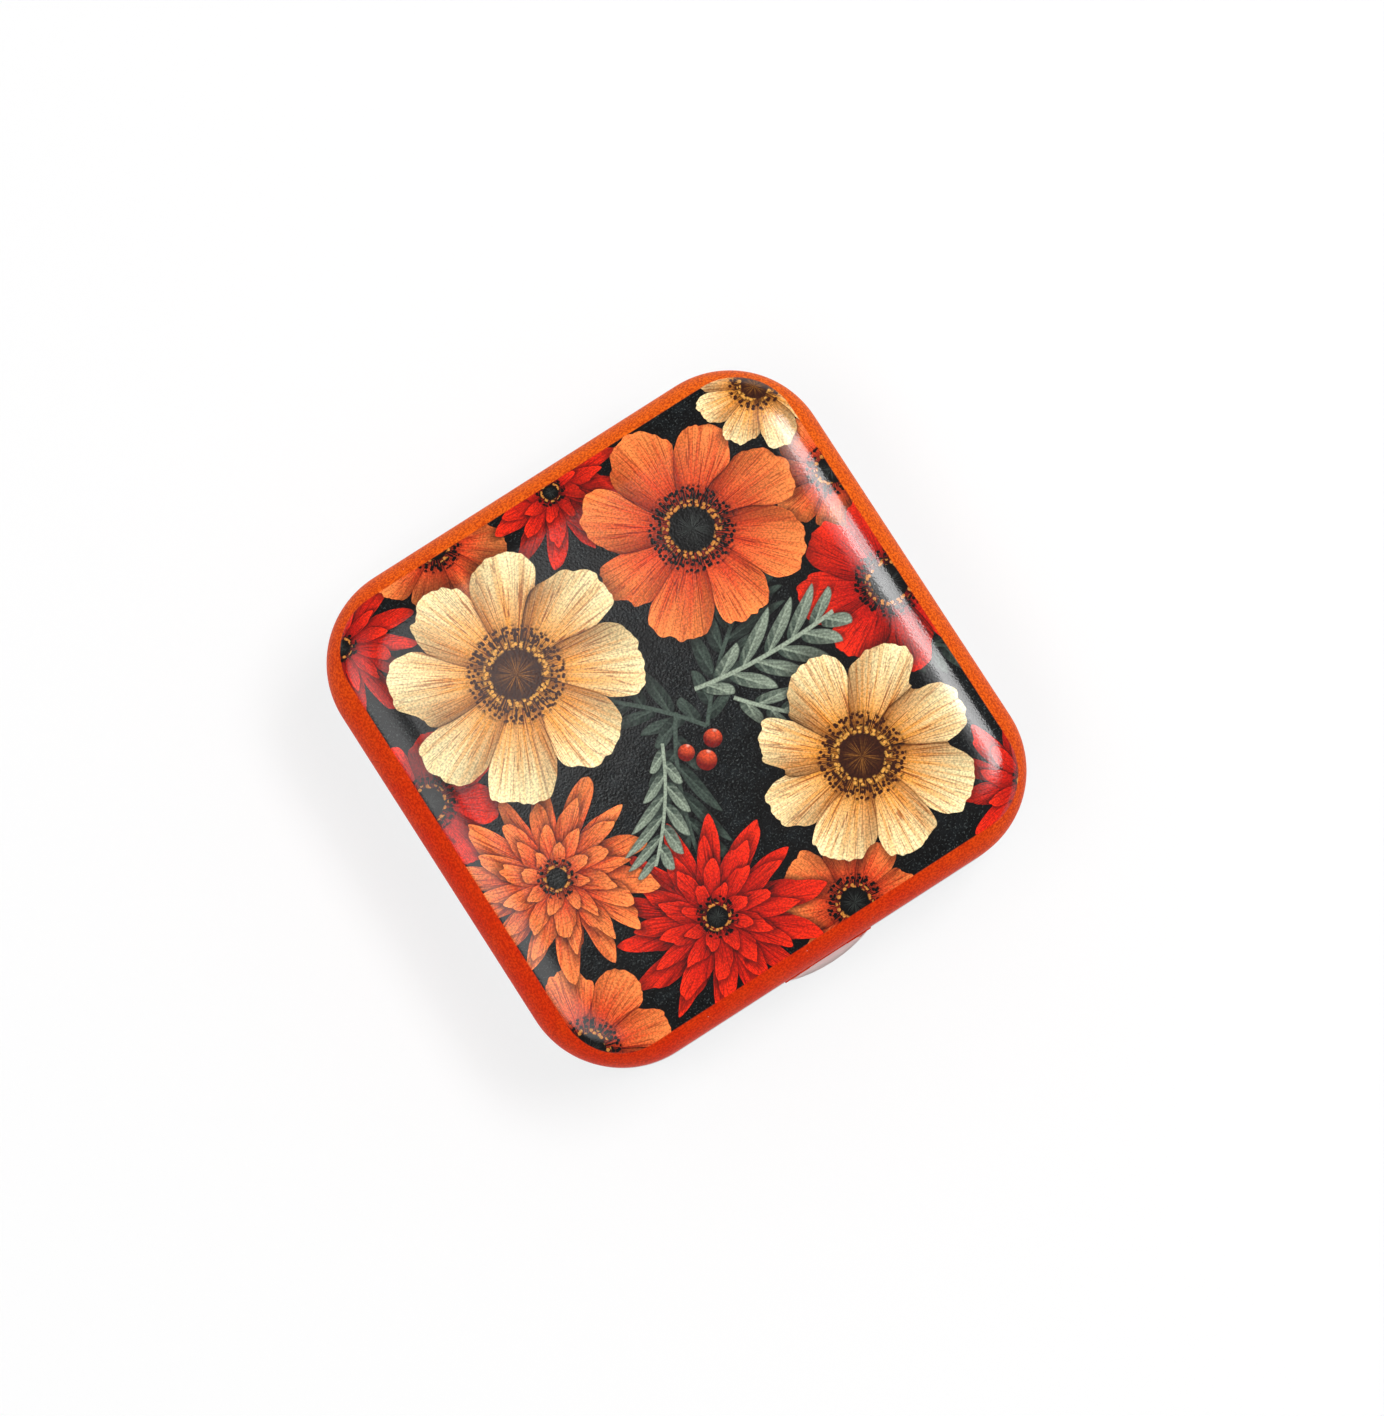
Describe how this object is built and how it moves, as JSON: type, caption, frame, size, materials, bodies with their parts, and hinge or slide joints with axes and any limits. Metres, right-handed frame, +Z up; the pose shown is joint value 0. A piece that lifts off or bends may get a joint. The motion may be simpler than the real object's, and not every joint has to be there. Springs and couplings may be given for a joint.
{
  "type": "hinged tin",
  "caption": "Small square hinged tin with round corners, a printed lid with a rolled shoulder and thumb lip, and a bare metal tray with a ledge and inset neck.",
  "frame": {"origin": "middle of the tin's footprint, on the surface it stands on", "axes": "+X to the right as the lid's picture is seen, -Y to the thumb lip at the front, +Y to the hinge, +Z up"},
  "size_m": [0.06, 0.0609, 0.018],
  "materials": {
    "printed_tinplate": "gloss varnish over a printed floral panel and an orange border, bare tinplate inside",
    "bare_tinplate": "bright rolled tinplate with a faint grain",
    "hinge_wire": "drawn steel wire"
  },
  "bodies": {
    "base": {"base": "bare_tinplate", "left_hinge_pin": "hinge_wire", "right_hinge_pin": "hinge_wire"},
    "lid": {"lid": "printed_tinplate"}
  },
  "joints": [
    {"name": "lid_hinge", "type": "hinge", "parent": "base", "child": "lid", "pos_m": [0, 0.02925, 0.01015], "axis": [-1, 0, 0], "range_deg": [0, 115]}
  ]
}
